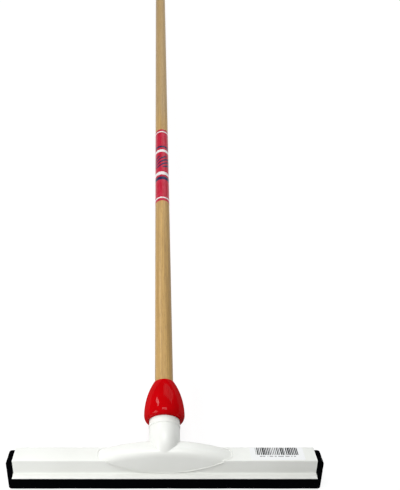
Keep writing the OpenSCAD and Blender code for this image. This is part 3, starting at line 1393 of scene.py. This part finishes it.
@dataclass
class Handle:
    """The wooden handle and its film label."""

    layout: Layout
    foot_r: float = 1.5
    foot_steps: int = 6
    tip_steps: int = 16
    turn_steps: int = 96

    def build(self) -> bpy.types.Object:
        """Builds the handle with eased ends."""
        size = self.layout
        radius = size.handle_d / 2
        low = (radius - self.foot_r, size.socket_at + self.foot_r)
        high = (radius - size.tip_r, size.handle_end - size.tip_r)
        profile = [(0.0, size.socket_at)]
        profile += arc(low, self.foot_r, -90, 0, self.foot_steps)
        profile += arc(high, size.tip_r, 0, 90, self.tip_steps)
        profile.append((0.0, size.handle_end))
        return Shape().turn(profile, self.turn_steps).make("turned_handle", size.handle_place())

    def build_label(self) -> bpy.types.Object:
        """Builds the film label as a thin tube."""
        size = self.layout
        inner = size.handle_d / 2
        outer = inner + size.label_t
        low = size.label_foot
        high = low + size.label_l
        outline = [(inner, low), (outer, low), (outer, high), (inner, high)]
        return Shape().turn(outline, self.turn_steps, closed=True).make("film_label", size.handle_place())

    def dress(self) -> None:
        """Builds handle and label and gives them their finishes."""
        size = self.layout
        place = size.handle_place()
        seat(self.build(), Body.HANDLE, Slot.WOOD, TurnedWood().material(place), "handle")
        film = PrintedFilm().material(place, size.label_foot, size.label_l)
        seat(self.build_label(), Body.HANDLE, Slot.FILM, film, "handle_label")


@dataclass(frozen=True)
class Lamp:
    """A soft rectangular lamp, with places and sizes in metres and its power in watts."""

    name: str
    at: Triple
    wide: float
    high: float
    power: float
    aim: Triple = (0.0, 0.03, 0.06)
    tint: Colour = (1.0, 1.0, 1.0)

    def build(self) -> None:
        """Adds the lamp to the scene."""
        data = bpy.data.lights.new(self.name, "AREA")
        data.shape = "RECTANGLE"
        data.size = self.wide
        data.size_y = self.high
        data.energy = self.power
        data.color = self.tint
        lamp = bpy.data.objects.new(self.name, data)
        lamp.location = self.at
        lamp.rotation_euler = (Vector(self.aim) - Vector(self.at)).to_track_quat("-Z", "Y").to_euler()
        bpy.context.scene.collection.objects.link(lamp)


@dataclass
class Studio:
    """The pale floor, the soft light and the camera."""

    layout: Layout
    focal_px: float = 570.0
    centre_x_px: float = 156.8
    image_w: float = 400.0
    image_h: float = 490.0
    look_down: float = math.radians(23.95)
    ridge_right: float = 9.98
    ridge_down: float = 269.35
    ridge_ahead: float = 711.0
    sensor: float = 36.0
    sight_m: float = 50.0
    floor_half: float = 6000.0
    floor_pale: float = 0.8
    floor_faint: float = 0.2
    floor_lift: float = 0.83
    sky: float = 0.12
    lamps: tuple[Lamp, ...] = (
        Lamp("key", (-0.84, -0.4, 0.68), 0.5, 0.5, 6.2),
        Lamp("over", (0.0, 0.1, 2.6), 1.2, 1.2, 40.0),
        Lamp("window", (-1.32, 1.52, 1.5), 0.4, 0.8, 15.0),
        Lamp("wall", (0.6, 1.6, 0.9), 1.4, 1.0, 8.0, (0.15, 0.0, 0.06), (0.92, 0.97, 1.0)),
    )

    def camera(self) -> None:
        """Sets the camera where the photograph was taken, from the near edge of the channel's top."""
        place = self.layout.head_place()
        down = self.look_down
        ahead = Vector((0, math.cos(down), -math.sin(down)))
        below = Vector((0, -math.sin(down), -math.cos(down)))
        ridge = Vector((0, -self.layout.channel_d / 2, 0))
        eye = ridge - self.ridge_ahead * ahead - self.ridge_down * below
        eye.x -= self.ridge_right
        data = bpy.data.cameras.new("camera")
        data.sensor_width = self.sensor
        data.lens = self.focal_px * self.sensor / self.image_h
        data.shift_x = (self.image_w / 2 - self.centre_x_px) / self.image_h
        data.clip_end = self.sight_m
        camera = bpy.data.objects.new("camera", data)
        camera.location = place @ eye
        camera.rotation_euler = (math.pi / 2 - down - self.layout.lie, 0, 0)
        bpy.context.scene.collection.objects.link(camera)
        bpy.context.scene.camera = camera

    def floor_finish(self) -> bpy.types.Material:
        """Builds the floor's material, which looks white to the camera and keeps the shadow."""
        g = Graph("pale_floor")
        rays = g.add("ShaderNodeLightPath").socket.node.outputs
        seen = Signal(g, rays["Is Camera Ray"]).maths("MAXIMUM", Signal(g, rays["Is Glossy Ray"]))
        seen = seen.maths("MAXIMUM", Signal(g, rays["Is Transmission Ray"]))
        pale, faint = (
            g.add("ShaderNodeBsdfDiffuse", {}, {"Color": (grey, grey, grey, 1.0)})
            for grey in (self.floor_pale, self.floor_faint)
        )
        lift = g.add("ShaderNodeEmission", {}, {"Color": (1.0, 1.0, 1.0, 1.0), "Strength": self.floor_lift})
        bright = g.add("ShaderNodeAddShader", {}, {0: faint, 1: lift})
        mixed = g.add("ShaderNodeMixShader", {}, {0: seen, 1: pale, 2: bright})
        g.add("ShaderNodeOutputMaterial", {}, {"Surface": mixed})
        return g.material

    def floor(self) -> None:
        """Lays the floor."""
        shape = Shape()
        bmesh.ops.create_grid(shape.bm, x_segments=1, y_segments=1, size=self.floor_half)
        floor = shape.make("floor", Matrix.Scale(MM, 4))
        floor.data.materials.append(self.floor_finish())

    def sky_light(self) -> None:
        """Gives the world an even pale light."""
        world = bpy.data.worlds.new("studio")
        world.use_nodes = True
        background = world.node_tree.nodes["Background"]
        background.inputs["Color"].default_value = (1.0, 1.0, 1.0, 1.0)
        background.inputs["Strength"].default_value = self.sky
        bpy.context.scene.world = world

    def build(self) -> None:
        """Sets up camera, floor and light."""
        self.camera()
        self.floor()
        self.sky_light()
        for lamp in self.lamps:
            lamp.build()
        bpy.context.scene.view_settings.view_transform = "Standard"


def main() -> None:
    """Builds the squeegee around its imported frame."""
    logging.basicConfig(level=logging.INFO, format="%(name)s: %(message)s")
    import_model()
    layout = Layout()
    Studio(layout).build()
    for assembly in (Channel(layout), Saddle(layout), Blades(layout), ScrewClamp(layout), Handle(layout)):
        assembly.dress()


if __name__ == "__main__":
    main()
